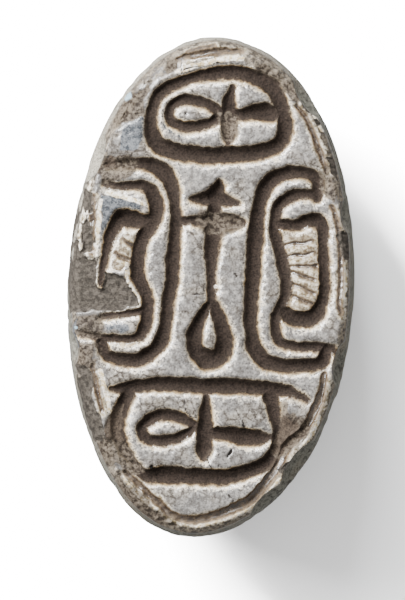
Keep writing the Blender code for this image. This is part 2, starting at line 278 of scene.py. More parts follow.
class Cloud:
    """Soft noise from -1 to 1, the same on each run: random values on a lattice, blended."""

    def __init__(self, seed):
        self.lattice = np.random.default_rng(seed).uniform(-1.0, 1.0, (32, 32, 32))

    def at(self, place, size):
        """The noise at each place, with lumps about this size."""
        spot = place / size
        cell = np.floor(spot).astype(int)
        part = spot - cell
        part = part * part * (3.0 - 2.0 * part)
        total = np.zeros(len(place))
        for corner in range(8):
            step = np.array([corner & 1, corner >> 1 & 1, corner >> 2])
            weight = np.prod(np.where(step, part, 1.0 - part), axis=1)
            total += weight * self.lattice[tuple(((cell + step) % 32).T)]
        return total

    def layers(self, place, size, count=3):
        """Noise in several layers, each half the size and a little over half the strength."""
        total = np.zeros(len(place))
        for layer in range(count):
            total += 0.58 ** layer * self.at(place + 3.7 * layer * size, size / 2 ** layer)
        return total / 1.6


def smooth(value, low, high):
    """0 up to low, 1 from high on, and a soft rise between. With low above high it falls."""
    share = np.clip((value - low) / (high - low), 0.0, 1.0)
    return share * share * (3.0 - 2.0 * share)


def between(before, start, end, after, t):
    """A point on the smooth curve from start to end that its two neighbours also shape."""
    return 0.5 * (2.0 * start + (end - before) * t
                  + (2.0 * before - 5.0 * start + 4.0 * end - after) * t ** 2
                  + (3.0 * start - before - 3.0 * end + after) * t ** 3)


def smooth_path(stroke, closed, step=7.0):
    """Places and widths along a smooth curve through a stroke's (x, y, width) points."""
    places = [np.array(point[:2]) for point in stroke]
    widths = [point[2] for point in stroke]
    count = len(stroke)
    path = []
    for index in range(count if closed else count - 1):
        if closed:
            near = [(index + shift) % count for shift in (-1, 0, 1, 2)]
        else:
            near = [min(max(index + shift, 0), count - 1) for shift in (-1, 0, 1, 2)]
        start, end = near[1:3]
        steps = max(1, round(math.dist(places[end], places[start]) / step))
        for part in range(steps):
            t = part / steps
            place = between(*(places[station] for station in near), t)
            path.append((place, widths[start] * (1.0 - t) + widths[end] * t))
    path.append(path[0] if closed else (places[-1], widths[-1]))
    return path


class Face:
    """The depth and the edges of the carving at each point, all in drawing units. Gentle is 1 on
    the side of a cut that slopes most gently and 0 on its steepest. A stroke changes nothing
    further than the reach from its edge."""

    REACH = 36.0
    FLANKS = {"cut": FLANK, "line": LINE_FLANK, "crack": CRACK_FLANK, "ridge": RIDGE_FLANK}

    def __init__(self, x, y):
        self.x = x
        self.y = y
        self.depth = np.zeros(len(x))
        self.gentle = np.zeros(len(x))
        self.edge = {kind: np.zeros(len(x)) for kind in self.FLANKS}

    def near(self, low, high):
        """Numbers of the points within a box."""
        return np.nonzero((self.x > low[0]) & (self.x < high[0])
                          & (self.y > low[1]) & (self.y < high[1]))[0]

    def cut(self, stroke, closed=False, depth_share=CUT_DEPTH_SHARE, kind="cut"):
        """A groove. Its edge value is 1.5 along its middle, 1 where the floor ends, a half on the
        lip, and 0 well outside."""
        path = smooth_path(stroke, closed)
        for (start, width_a), (end, width_b) in zip(path, path[1:]):
            reach = max(width_a, width_b) / 2 + self.REACH
            near = self.near(np.minimum(start, end) - reach, np.maximum(start, end) + reach)
            run = end - start
            off_x = self.x[near] - start[0]
            off_y = self.y[near] - start[1]
            t = np.clip((off_x * run[0] + off_y * run[1]) / max(run @ run, 1e-9), 0.0, 1.0)
            off_x -= t * run[0]
            off_y -= t * run[1]
            away = np.hypot(off_x, off_y)
            lean = (off_x * LEAN_WAY[0] + off_y * LEAN_WAY[1]) / np.maximum(away, 1e-6)
            flank = self.FLANKS[kind] * (1.0 + FLANK_LEAN * lean)
            width = width_a + (width_b - width_a) * t
            half = np.maximum(width / 2 - FLANK_INSIDE * self.FLANKS[kind],
                              NARROWEST_FLOOR * width)
            from_middle = np.clip(away / half, 0.0, 1.0)
            up_flank = (away - half) / flank
            bowl = 1.0 - FLOOR_BOWL * from_middle ** 2
            depth = width * depth_share * bowl * (1.0 - smooth(up_flank, *FLANK_RISE))
            self.depth[near] = np.maximum(self.depth[near], depth)
            outside = (away - half - flank) / (EDGE_REACH * (1.0 + LIP_LEAN * lean))
            value = np.where(up_flank < 1.0,
                             1.5 - 0.5 * from_middle - 0.5 * np.clip(up_flank, 0.0, 1.0),
                             0.5 - 0.5 * np.clip(outside, 0.0, 1.0))
            edge = self.edge[kind]
            nearest = value > edge[near]
            edge[near[nearest]] = value[nearest]
            self.gentle[near[nearest]] = 0.5 + 0.5 * lean[nearest]

    def inside(self, corners, soft):
        """0 outside a closed outline, a half on it, and 1 within it, over a soft edge."""
        corners = np.array(corners)
        near = self.near(corners.min(axis=0) - soft, corners.max(axis=0) + soft)
        x = self.x[near]
        y = self.y[near]
        away = np.full(len(near), 1e9)
        within = np.zeros(len(near), bool)
        for start, end in zip(corners, np.roll(corners, -1, axis=0)):
            run = end - start
            t = np.clip(((x - start[0]) * run[0] + (y - start[1]) * run[1])
                        / max(run @ run, 1e-9), 0.0, 1.0)
            away = np.minimum(away, np.hypot(x - start[0] - t * run[0], y - start[1] - t * run[1]))
            if start[1] != end[1]:
                crosses = (start[1] > y) != (end[1] > y)
                within ^= crosses & (x < start[0] + (y - start[1]) * run[0] / run[1])
        share = np.zeros(len(self.x))
        share[near] = smooth(np.where(within, away, -away), -soft / 2, soft / 2)
        return share


def carve_upper_oval(face):
    face.cut([
        (-134, 300, 25), (-137, 335, 20), (-125, 375, 22), (-100, 396, 22), (-50, 416, 19), (0, 427, 25),
        (50, 425, 24), (100, 405, 29), (125, 358, 26), (130, 312, 28), (106, 282, 29), (50, 268, 28),
        (0, 264, 30), (-45, 262, 32), (-112, 273, 30)], closed=True)
    face.cut([
        (0, 345, 19), (-20, 360, 18), (-45, 368, 19), (-72, 370, 18), (-93, 360, 19), (-100, 342, 18),
        (-94, 325, 18), (-73, 316, 18), (-42, 319, 19), (-12, 330, 19)], closed=True)
    face.cut([(22, 401, POINT), (18, 380, 17), (16, 352, 27), (18, 320, 27), (20, 300, 20),
              (20, 290, POINT)])
    face.cut([(16, 346, 16), (38, 346, 21), (62, 351, 26), (90, 355, 34), (105, 350, 27)])


def carve_lower_oval(face):
    face.cut([
        (-184, -211, POINT), (-150, -206, 23), (-100, -198, 25), (-50, -196, 27), (0, -197, 27),
        (50, -194, 27), (100, -194, 27), (145, -196, 26), (178, -202, 14), (204, -213, POINT)])
    face.cut([
        (-150, -215, 24), (-163, -250, 25), (-170, -285, 28), (-160, -320, 20), (-138, -352, 16),
        (-112, -378, 20), (-80, -377, 33), (-40, -377, 31), (20, -376, 30), (60, -372, 29),
        (100, -358, 27), (130, -342, 26), (146, -315, 22), (150, -280, 19), (142, -248, 22),
        (130, -212, 28)])
    face.cut([
        (-18, -276, 14), (-48, -262, 19), (-83, -258, 21), (-110, -270, 21), (-121, -290, 20),
        (-110, -307, 18), (-83, -310, 18), (-52, -303, 18), (-28, -289, 15)], closed=True)
    face.cut([(3, -216, POINT), (3, -240, 20), (4, -270, 27), (4, -300, 30), (4, -322, 28), (4, -337, 14)])
    face.cut([(10, -290, 20), (50, -290, 26), (82, -293, 33), (112, -293, 26), (137, -291, POINT)])


def carve_middle_sign(face):
    face.cut([(-47, 174, POINT), (-24, 175, 22), (4, 178, 32), (24, 173, 22), (42, 170, POINT)])
    face.cut([(0, 184, 38), (5, 198, 24), (7, 209, 9)])
    face.cut([(-66, 130, 12), (-25, 130, 17), (0, 132, 29), (36, 132, 30), (55, 133, 15)])
    face.cut([(0, 165, 22), (0, 110, 32), (-1, 85, 28), (-2, 60, 23), (0, 20, 15), (2, -32, 13)])
    face.cut([
        (4, -32, 14), (-12, -55, 22), (-24, -84, 27), (-26, -110, 29), (-17, -134, 33), (5, -143, 38),
        (27, -135, 35), (34, -110, 30), (30, -84, 27), (18, -55, 22)], closed=True)


def carve_left_snake(face):
    face.cut([
        (-216, 231, POINT), (-172, 238, 18), (-126, 236, 27), (-98, 216, 29), (-85, 188, 23),
        (-80, 160, 17), (-76, 115, 22), (-78, 60, 23), (-78, 0, 23), (-84, -40, 22), (-85, -80, 21),
        (-97, -120, 26), (-120, -143, 26), (-150, -153, 24), (-196, -148, 21), (-210, -122, 20)])
    face.cut([
        (-222, 193, POINT), (-190, 191, 13), (-160, 195, 16), (-138, 191, 20), (-122, 175, 26),
        (-116, 145, 26), (-125, 115, 25), (-140, 92, 25), (-148, 55, 25), (-147, 20, 25), (-134, -8, 23),
        (-124, -30, 21), (-125, -75, 23), (-131, -98, 21), (-148, -111, 14), (-200, -112, 14),
        (-252, -108, POINT)])
    face.cut([
        (-128, 125, 22), (-160, 126, 32), (-187, 127, 31), (-203, 98, 22), (-211, 65, 15),
        (-216, 25, 11), (-217, -4, POINT)])
    face.cut([(-134, -54, 15), (-175, -63, 7), (-214, -71, 4)])


def carve_right_snake(face):
    face.cut([
        (202, 190, 18), (200, 224, 22), (165, 238, 22), (128, 230, 25), (102, 211, 27), (90, 180, 26),
        (85, 140, 26), (83, 95, 30), (83, 40, 27), (83, -20, 26), (85, -80, 23), (96, -120, 27),
        (128, -145, 28), (190, -146, 23), (228, -138, 26), (238, -112, 20)])
    face.cut([
        (202, 192, 16), (180, 195, 17), (150, 190, 19), (129, 172, 22), (119, 134, 17), (124, 108, 20),
        (138, 65, 21), (149, 20, 19), (148, -18, 17), (134, -50, 18), (134, -78, 19), (142, -98, 18),
        (170, -107, 18), (220, -108, 16), (250, -110, 11)])
    face.cut([
        (126, 135, 17), (160, 133, 20), (184, 143, 23), (202, 145, 27), (216, 130, 21), (219, 95, 17),
        (223, 50, 20), (227, 0, 22), (213, -42, 28), (190, -53, 31), (165, -52, 28), (150, -42, 22)])


def carve_ribs(face):
    """The strokes across each snake's spread hood, and the fainter ones worn nearly away."""
    for stroke in (
            [(-180, 86, 3), (-168, 79, 6), (-154, 70, POINT)],
            [(-192, 57, 3), (-179, 50, 6), (-164, 42, POINT)],
            [(145, 91, POINT), (170, 97, 6), (197, 104, 3)],
            [(150, 68, POINT), (175, 73, 6), (203, 79, 3)],
            [(157, 49, POINT), (182, 51, 5), (209, 53, POINT)],
            [(160, 38, POINT), (182, 31, 6), (206, 25, POINT)],
            [(164, 15, POINT), (186, 6, 6), (207, -1, POINT)],
            [(162, -10, POINT), (184, -15, 5), (205, -22, POINT)]):
        face.cut(stroke, depth_share=0.75, kind="line")


def carve_borders(face):
    """The line that runs inside the face's edge, in the stretches that are left of it."""
    for stroke in (
            [(-88, 449, POINT), (-50, 460, 10), (-12, 468, 12), (36, 471, 7)],
            [(-72, 463, 3), (-45, 473, 5), (-18, 479, 3)],
            [(152, 368, POINT), (178, 335, 8), (203, 280, 9), (219, 244, 8)],
            [(232, 172, POINT), (249, 120, 8), (257, 50, 8), (257, -10, 8), (263, -38, POINT)],
            [(-150, -377, POINT), (-118, -402, 12), (-80, -433, 12), (-46, -458, 12), (5, -460, 14),
             (60, -441, 17), (108, -412, 20), (150, -355, 16), (170, -308, 20), (200, -275, 16),
             (226, -220, 16), (238, -163, 10)],
            [(-242, 168, POINT), (-242, 115, 12), (-240, 56, POINT)],
            [(-226, -168, POINT), (-216, -212, 10), (-202, -258, POINT)]):
        face.cut(stroke, depth_share=0.6, kind="line")


def scratch(face):
    """Cracks, pits and scratches."""
    for stroke in (
            [(-81, 452, 0.9), (-83, 437, 1.5), (-80, 422, 1.2)],
            [(-40, -219, 1.2), (-38, -240, 1.5), (-30, -256, 1.2), (-18, -262, 1.2)],
            [(14, -333, 1.2), (16, -345, 1.8), (22, -358, 1.8)],
            [(54, -407, 1.2), (62, -415, 2.4), (72, -424, 1.5)],
            [(-37, -16, 0.9), (-28, -16.5, 1.8), (-20, -15.5, 0.9)],
            [(60, -324, 3.6), (57, -331, 5.4), (54, -336, 3)],
            [(30, -320, 0.9), (38, -322, 1.2), (39, -330, 1.2), (32, -337, 0.9)],
            [(79, -263, 1.8), (83, -274, 4.8)], [(-20.5, -456, 2.4), (-20, -456, 2.4)],
            [(36, -352, 1.8), (36.5, -352, 1.8)], [(-98, -363, 7.2), (-97, -363, 7.2)],
            [(-258, -61, 2.4), (-250, -60, 4.8), (-243, -62, 2.4)],
            [(44, 30, 0.9), (52, 22, 1.8)],
            [(-80, 429, 1.2), (-40, 438, 1.8), (0, 447, 1.2)],
            [(-69, 340, 3.6), (-66, 339, 3.6)], [(27, 312, 4.2), (28, 305, 4.2)]):
        face.cut(stroke, depth_share=1.4, kind="crack")


def spare_ridges(face):
    """The narrow ridges between worn or broken stretches, rubbed pale, that keep their height."""
    for stroke in (
            [(-90, 425, POINT), (-50, 440, 9), (5, 454, 9), (38, 457, POINT)],
            [(-216, 178, POINT), (-190, 171, 5), (-160, 164, 5), (-140, 158, 5)],
            [(-228, 160, 2), (-229, 120, 3), (-230, 78, 1)],
            [(-168, 22, 4), (-160, -3, 4), (-141, -26, 5), (-141, -46, 4)],
            [(-212, -76, 3), (-180, -73, 5), (-144, -68, 5)],
            [(-209, -178, 6), (-196, -222, 8), (-185, -256, POINT)],
            [(148, 400, POINT), (181, 366, 5), (207, 324, POINT)],
            [(262, 60, 4), (266, 20, 7), (266, -8, 4)],
            [(232, -248, 4), (219, -278, 8), (204, -302, 4)],
            [(158, -376, POINT), (134, -410, 7), (94, -440, 6), (0, -475, 4)],
            [(-155, -388, 4), (-125, -418, 6), (-84, -448, 4)]):
        face.cut(stroke, depth_share=0.0, kind="ridge")


# Outlines of the broken, dark bare patches
LEFT_BREAK = [(-300, 46), (-222, 44), (-222, -18), (-211, -18), (-204, 20), (-170, 10), (-162, -6),
              (-142, -30), (-143, -45), (-165, -54), (-215, -64), (-256, -66), (-300, -60)]
LEFT_WEAR = [(-236, 228), (-248, 200), (-246, 150), (-248, 112), (-240, 84), (-229, 52), (-225, 30),
             (-300, 30), (-290, 120), (-268, 190)]
BARE_PATCHES = [
    LEFT_BREAK,
    LEFT_WEAR,
    [(-258, -168), (-238, -165), (-226, -200), (-222, -240), (-206, -270), (-190, -300), (-192, -320),
     (-216, -320), (-234, -275), (-250, -225)],
    [(160, 388), (176, 398), (198, 360), (204, 346), (180, 351), (163, 361)],
    [(192, 340), (212, 342), (216, 326), (203, 332)],
    [(222, 266), (236, 268), (246, 230), (234, 240)],
    [(254, 118), (262, 127), (277, 105), (279, 72), (263, 68), (255, 90)],
    [(238, -296), (226, -290), (205, -320), (178, -346), (160, -362), (185, -372), (215, -345)]]

# Outlines of the patches stained by earth, and of the deeper ones filled with it
STAINED_PATCHES = [
    [(-192, 352), (-168, 388), (-152, 398), (-140, 388), (-147, 350), (-146, 328), (-165, 324),
     (-190, 306), (-210, 298), (-206, 318)],
    [(-115, 452), (-88, 452), (-86, 428), (-104, 418), (-112, 430)],
    [(-236, 238), (-182, 249), (-160, 240), (-166, 205), (-230, 186), (-244, 212)],
    [(85, 454), (112, 434), (137, 412), (153, 388), (151, 360), (134, 370), (122, 395), (100, 425),
     (70, 438)],
    [(206, 242), (230, 250), (240, 205), (236, 178), (210, 192)],
    [(-212, -316), (-172, -311), (-150, -322), (-132, -345), (-108, -355), (-103, -378), (-140, -386),
     (-170, -372), (-200, -348)],
    [(-156, -380), (-105, -425), (-60, -454), (-36, -470), (-75, -482), (-125, -458), (-170, -410)],
    [(150, -210), (165, -240), (205, -250), (218, -252), (208, -292), (166, -338), (146, -330),
     (152, -280)],
    [(-2, 345), (38, 345), (42, 320), (32, 288), (10, 288), (-2, 315)],
    [(-20, 152), (52, 152), (60, 116), (22, 100), (-22, 104), (-34, 128)],
    [(-262, -72), (-208, -74), (-214, -84), (-206, -98), (-214, -112), (-266, -106)],
    [(-264, -116), (-218, -118), (-214, -140), (-222, -172), (-252, -172)]]
FILLED_PATCHES = [
    [(-192, -262), (-178, -246), (-160, -240), (-158, -300), (-150, -320), (-176, -322), (-192, -300)],
    [(160, -250), (190, -262), (186, -285), (166, -330), (148, -326), (154, -285)],
    [(-222, 240), (-196, 244), (-196, 222), (-222, 220)]]

# Patches coloured dark bluish grey
SLATE_PATCHES = [
    [(-212, -83), (-165, -80), (-160, -90), (-170, -98), (-205, -97)],
    [(-226, 173), (-186, 171), (-148, 161), (-148, 148), (-198, 148), (-204, 128), (-210, 100),
     (-214, 66), (-223, 70), (-227, 110)],
    [(-114, 318), (-97, 299), (-70, 290), (-66, 297), (-88, 306), (-104, 324)],
    [(-182, 312), (-150, 330), (-148, 290), (-158, 262), (-190, 256)],
    [(-262, -80), (-248, -86), (-252, -128), (-268, -140), (-276, -100)]]
RIB_PANELS = [
    [(142, 126), (205, 130), (212, 90), (212, 0), (205, -36), (158, -38), (164, 10), (150, 60), (140, 95)],
    [(-185, 112), (-152, 106), (-150, 84), (-164, 42), (-176, 18), (-206, 22), (-203, 60), (-196, 90)]]
SUNK_SLOPES = [
    [(-250, 262), (-205, 300), (-165, 328), (-148, 345), (-145, 392), (-100, 432), (-88, 455),
     (-120, 480), (-260, 400)],
    [(90, 455), (150, 365), (170, 345), (215, 330), (180, 420), (120, 470)],
    [(-222, -240), (-190, -300), (-150, -325), (-108, -358), (-140, -384), (-60, -458), (0, -478),
     (-60, -520), (-230, -400)]]

# Where a little of the blue glaze is left: place in drawing units, and reach
BLUE_SPOTS = [(-189, 372, 15), (-262, -96, 4)]


def bite_rim(place):
    """Pushes the points within each nick's ball inwards, to the far side of the ball."""
    for degrees, radius, bite in RIM_NICKS:
        angle = math.radians(degrees)
        share = outline_share(angle)
        outward = Vector((math.cos(angle) / WIDTH, math.sin(angle) / LENGTH, 0.0)).normalized()
        along = Vector((-outward.y, outward.x, 0.0))
        middle = Vector((WIDTH / 2 * share * math.cos(angle), LENGTH / 2 * share * math.sin(angle),
                         HEIGHT - radius / 2))
        middle += outward * (radius * (1.0 - bite) - FACE_INSET / 2)
        axes = np.array([outward / radius, along / (radius * NICK_STRETCH),
                         Vector((0.0, 0.0, 1.0)) / (radius * NICK_STRETCH)])
        local = (place - np.array(middle)) @ axes.T
        within = np.nonzero((local ** 2).sum(axis=1) < 1.0)[0]
        spot = local[within]
        lean = spot @ NICK_WAY
        push = -lean + np.sqrt(lean ** 2 - (spot ** 2).sum(axis=1) + 1.0)
        local[within] = spot + push[:, None] * NICK_WAY
        place[within] = np.array(middle) + local[within] @ np.linalg.inv(axes.T)
    return place


def patches(face, outlines, soft):
    """1 within any of the outlines, and 0 outside them all."""
    return np.max([face.inside(outline, soft) for outline in outlines], axis=0)


def carve(face):
    """The whole design and its borders, and the ridges and scratches that wear has left."""
    carve_upper_oval(face)
    carve_middle_sign(face)
    carve_left_snake(face)
    carve_right_snake(face)
    carve_lower_oval(face)
    carve_borders(face)
    carve_ribs(face)
    spare_ridges(face)
    scratch(face)


def wander(noise, place, size, apart, **layers):
    """Noise across the face and, from a place well apart, along it, to bend a drawing's edges."""
    return np.stack([noise(place, size, **layers), noise(place + apart, size, **layers)])


def rim_field(place, angle, stray):
    """1 on the worn ring round the carving, and 0 well inside it."""
    reach = 2.0 * np.hypot(place[:, 0] / WIDTH, place[:, 1] / LENGTH) / outline_share(angle)
    return smooth(reach + RIM_STRAY * stray[0], RIM_START, RIM_FULL)


def blue_field(drawn):
    """1 in the middle of each spot of blue glaze, fading out round it."""
    return np.max([np.exp(-((drawn[0] - x) ** 2 + (drawn[1] - y) ** 2) / size ** 2)
                   for x, y, size in BLUE_SPOTS], axis=0)


def worn_fields(face, stains, slivers):
    """How far each point is broken, bare, stained and so on, from 0 to 1. Slivers of glaze are
    left standing on the worn stretch at the left."""
    left_wear = stains.inside(LEFT_WEAR, soft=14.0)
    slivers = left_wear * slivers
    return {"broken": np.maximum(stains.inside(LEFT_BREAK, soft=5.0),
                                 left_wear * (0.92 - 0.45 * slivers)),
            "bare": patches(stains, BARE_PATCHES, soft=12.0) * (1.0 - 0.9 * slivers),
            "stained": patches(stains, STAINED_PATCHES, soft=22.0),
            "filled": patches(stains, FILLED_PATCHES, soft=22.0),
            "slate": patches(stains, SLATE_PATCHES, soft=10.0),
            "slope": patches(stains, SUNK_SLOPES, soft=34.0),
            "ridge": np.maximum(smooth(face.edge["ridge"], 0.4, 0.8), 0.6 * slivers),
            "panel": patches(face, RIB_PANELS, soft=8.0)}


def sunk_depth(face, wear, rough, waves):
    """How far each point of the face lies below the sound stone. Rough and waves are noises."""
    cut_depth = face.depth * UNIT
    lumps = FLOOR_LUMPS * smooth(cut_depth, *LUMPY_DEPTHS) * (0.5 + 0.5 * rough)
    sink = np.maximum(cut_depth - lumps, 0.0)
    for kind, roll_depth in (("cut", ROLL_DEPTH), ("line", LINE_ROLL_DEPTH)):
        outside = np.maximum(0.5 - face.edge[kind], 0.0) * 2.0 * EDGE_REACH
        sink = np.maximum(sink, cut_depth + roll_depth * np.exp(-outside / ROLL_REACH))
    sink += wear["panel"] * PANEL_SINK
    sink += wear["slope"] * (1.0 - 0.8 * wear["ridge"]) * (SLOPE_SINK + WORN_ROUGHNESS * rough)
    sink += wear["rim"] * (1.0 - 0.6 * wear["ridge"]) * (RIM_SINK + RIM_ROUGHNESS * rough)
    sink += wear["stained"] * STAIN_SINK * (1.0 + rough)
    sink = np.maximum(sink, wear["filled"] * (FILLED_DEPTH + WORN_ROUGHNESS * rough))
    sink = np.maximum(sink, wear["bare"] * (BARE_DEPTH + WORN_ROUGHNESS * rough))
    drop = BREAK_DEPTH + BREAK_SLOPE * UNIT * np.maximum(BREAK_EDGE - face.x, 0.0)
    drop += BREAK_ROUGHNESS * rough + BREAK_WAVE * waves
    return np.maximum(sink, wear["broken"] * drop)


def side_wear(place, normals, axis_away, cloud):
    """How far the side and back are worn in: shallow dents, and more round the bore's mouths,
    where the surface looks along the bore."""
    dents = SIDE_WAVE * smooth(cloud.layers(place, DENT_SIZE, 4), -0.15, 0.8)
    mouth = MOUTH_WEAR * np.exp(-np.maximum(axis_away - BORE_RADIUS, 0.0) / MOUTH_REACH)
    mouth[np.abs(normals[:, 1]) < MOUTH_FACING] = 0.0
    return dents + mouth


def break_down_side(stains, stray, levels, bare, top):
    """The bare break, which runs down the left side, further in its middle than at its ends."""
    middle = smooth(stains.y, *BREAK_LOWER_RISE) * smooth(stains.y, *BREAK_UPPER_RISE)
    low_end = HEIGHT - (BREAK_DROP + BREAK_MIDDLE_DROP * middle + BREAK_DROP_STRAY * stray[0])
    down = smooth(levels, low_end - BREAK_FADE, low_end)
    return bare * np.where(stains.x < 0.0, down, top)


def make_stone():
    """The carved stone, with its fields of soil, wear and breaks kept as attributes, and of which flank
    and side face the lamps, for painted light.
    """
    mesh = bored_mesh(stone_blank())
    place = read_vectors(mesh.vertices, "co")
    levels = place[:, 2].copy()
    normals = read_vectors(mesh.vertex_normals, "vector")
    axis_away = np.hypot(place[:, 0], place[:, 2] - BORE_HEIGHT)
    in_bore = axis_away < BORE_RADIUS * BORE_WALL
    mark_bore_edge(mesh, in_bore)

    # The shifts of place take each noise from another part of its cloud
    cloud = Cloud(7)
    fine = Cloud(19)
    drawn = np.stack([place[:, 0] / UNIT_ACROSS, place[:, 1] / UNIT])
    ragged = wander(cloud.layers, place, RAGGED_SIZE, 0.05)
    nibbled = wander(fine.at, place, NIBBLED_SIZE, 0.05)
    stray = wander(cloud.layers, place, STRAY_SIZE, 0.07, count=4)
    face = Face(*(drawn + RAGGED_REACH * ragged + NIBBLED_REACH * nibbled))
    carve(face)
    stains = Face(*(drawn + STRAY_REACH * stray))

    angle = np.arctan2(place[:, 1] / LENGTH, place[:, 0] / WIDTH)
    slivers = smooth(cloud.layers(place * SLIVER_SQUASH + 0.21, SLIVER_SIZE), 0.08, 0.3)
    wear = worn_fields(face, stains, slivers)
    wear["rim"] = rim_field(place, angle, stray)
    rough = fine.layers(place, ROUGH_SIZE, 2)
    sink = sunk_depth(face, wear, rough, cloud.layers(place, BREAK_WAVE_SIZE))
    sink += LAND_WAVE * (0.5 + 0.5 * cloud.layers(place, LAND_WAVE_SIZE))
    sink += LAND_PITS * smooth(fine.layers(place + 0.3, PIT_SIZE, 2), 0.15, 0.7)
    upward = smooth(levels, *RELIEF_HEIGHTS)
    place[:, 2] -= sink * upward

    side = 1.0 - upward
    inwards = np.where(in_bore, 0.0, side * side_wear(place, normals, axis_away, cloud))
    place -= normals * inwards[:, None]
    write_points(mesh, bite_rim(place))
    mesh.shade_smooth()

    top = smooth(levels, *LOOKS_HEIGHTS)
    on_face = {"cut_edge": face.edge["cut"], "gentle": face.gentle, "line_edge": face.edge["line"],
               "crack_edge": face.edge["crack"]}
    on_face |= {name: wear[name] for name in ("ridge", "stained", "filled", "slate", "rim", "panel")}
    fields = {name: values * top for name, values in on_face.items()}
    bare = break_down_side(stains, stray, levels, wear["bare"], top)
    # Painted light: the pale crust is laid on the side that faces the lamps
    facing_lamps = CRUST_AND_LIGHT_WAY[0] * np.cos(angle) + CRUST_AND_LIGHT_WAY[1] * np.sin(angle)
    fields |= {"bare": bare, "side": side * (1.0 - 0.85 * bare), "crust_and_light": smooth(facing_lamps, -0.1, 0.8),
               "blue": blue_field(drawn) * upward, "in_bore": in_bore.astype(float)}
    for name, values in fields.items():
        mesh.attributes.new(name, "FLOAT", "POINT").data.foreach_set("value", values)
    return add_object("carved_stone", mesh)


def mark_bore_edge(mesh, in_bore):
    """Keeps the bore's mouths crisp where its wall meets the outside."""
    bm = bmesh.new()
    bm.from_mesh(mesh)
    walls = {face for face in bm.faces if all(in_bore[vert.index] for vert in face.verts)}
    for edge in bm.edges:
        if len(edge.link_faces) == 2 and sum(face in walls for face in edge.link_faces) == 1:
            edge.smooth = False
    bm.to_mesh(mesh)
    bm.free()


def colour(code):
    """An sRGB hex colour as the linear values that a shader takes."""
    parts = [int(code[start:start + 2], 16) / 255 for start in (0, 2, 4)]
    return (*(part / 12.92 if part <= 0.04045 else ((part + 0.055) / 1.055) ** 2.4
              for part in parts), 1.0)


def add(tree, kind, inputs, output, **settings):
    """Adds a node with its settings and gives one output. An input takes a value or a link."""
    node = tree.nodes.new(kind)
    for name, value in settings.items():
        setattr(node, name, value)
    for socket, value in inputs.items():
        if isinstance(value, bpy.types.NodeSocket):
            tree.links.new(value, node.inputs[socket])
        else:
            node.inputs[socket].default_value = colour(value) if isinstance(value, str) else value
    return node.outputs[output]


# Sockets of the Mix node when it mixes colours
FACTOR, FIRST, SECOND, MIXED = 0, 6, 7, 2


def film(tree, below, over, field, start, full, strength=1.0):
    """Lays a colour over another where a field has risen from start to full."""
    share = add(tree, "ShaderNodeMapRange",
                {"Value": field, "From Min": start, "From Max": full, "To Max": strength},
                "Result", interpolation_type="SMOOTHSTEP")
    return add(tree, "ShaderNodeMix", {FACTOR: share, FIRST: below, SECOND: over}, MIXED,
               data_type="RGBA")


def coat(tree, below, dark, light, mottle, field, start, full, strength=1.0):
    """Lays two mottled colours in the same way."""
    layer = add(tree, "ShaderNodeMix", {FACTOR: mottle, FIRST: dark, SECOND: light}, MIXED,
                data_type="RGBA")
    return film(tree, below, layer, field, start, full, strength)


# Lumps of the stone's noises: clouds and blotches of the glaze, grains and specks of the stone
# and soil. Real soil is finer, but grains under 0.05 mm are too small to see here.
LUMPS = {"clouds": 1.7 * MM, "blotches": 0.6 * MM, "grain": 0.15 * MM, "specks": 0.06 * MM}
CRACKLE_SIZE = 0.42 * MM
CRACKLE_BEND = 0.12 * MM
GRAIN_HEIGHT = 0.045 * MM


def stone_fields(tree, spot):
    """What the coats follow, by name: the mesh's attributes, noises, and mixes of the two."""
    field = {}
    for name in ("cut_edge", "gentle", "line_edge", "crack_edge", "ridge", "bare", "stained", "filled",
                 "slate", "rim", "panel", "side", "crust_and_light", "blue", "in_bore"):
        field[name] = add(tree, "ShaderNodeAttribute", {}, "Fac", attribute_name=name)
    for name, size in LUMPS.items():
        field[name] = add(tree, "ShaderNodeTexNoise", {"Vector": spot, "Scale": 1.0 / size,
                                                       "Detail": 3.0, "Roughness": 0.65}, "Fac")
    for name, noise in (("mottled", "grain"), ("speckled", "specks")):
        field[name] = add(tree, "ShaderNodeMapRange", {"Value": field[noise], "From Min": 0.38,
                                                       "From Max": 0.62}, "Result",
                          interpolation_type="SMOOTHSTEP")

    # The attributes' edges fray with a noise, a cut's with two. Each noise adds about half its
    # share, so the coats start that much later.
    for name, noise, share in (
            ("cut_edge", "grain", 0.6), ("cut_edge", "specks", 0.9), ("line_edge", "grain", 0.4),
            ("ridge", "grain", 0.8), ("bare", "blotches", 0.5), ("stained", "grain", 1.0),
            ("filled", "grain", 0.9), ("slate", "grain", 0.7), ("rim", "blotches", 1.2),
            ("panel", "grain", 0.8), ("side", "blotches", 0.3), ("crust_and_light", "blotches", 1.4),
            ("blue", "grain", 0.5)):
        field[name] = add(tree, "ShaderNodeMath", {0: field[noise], 1: share, 2: field[name]},
                          "Value", operation="MULTIPLY_ADD")

    # Painted light and shade across each cut. The gentle flank faces the lamps and gets painted
    # highlights, and the earth's coats start higher up the steep flank, which lies in shade.
    field["easy"] = add(tree, "ShaderNodeMapRange", {"Value": field["gentle"], "From Min": 0.3,
                                                     "From Max": 0.72, "To Min": 0.35}, "Result",
                        interpolation_type="SMOOTHSTEP")
    shaded_flank_shift = add(tree, "ShaderNodeMath", {0: field["easy"], 1: -0.16, 2: 0.16}, "Value",
                operation="MULTIPLY_ADD")
    for name, share in (("soiled_and_shaded", 1.0), ("earth_and_shade", 2.4)):
        field[name] = add(tree, "ShaderNodeMath", {0: shaded_flank_shift, 1: share, 2: field["cut_edge"]},
                          "Value", operation="MULTIPLY_ADD")
    return field


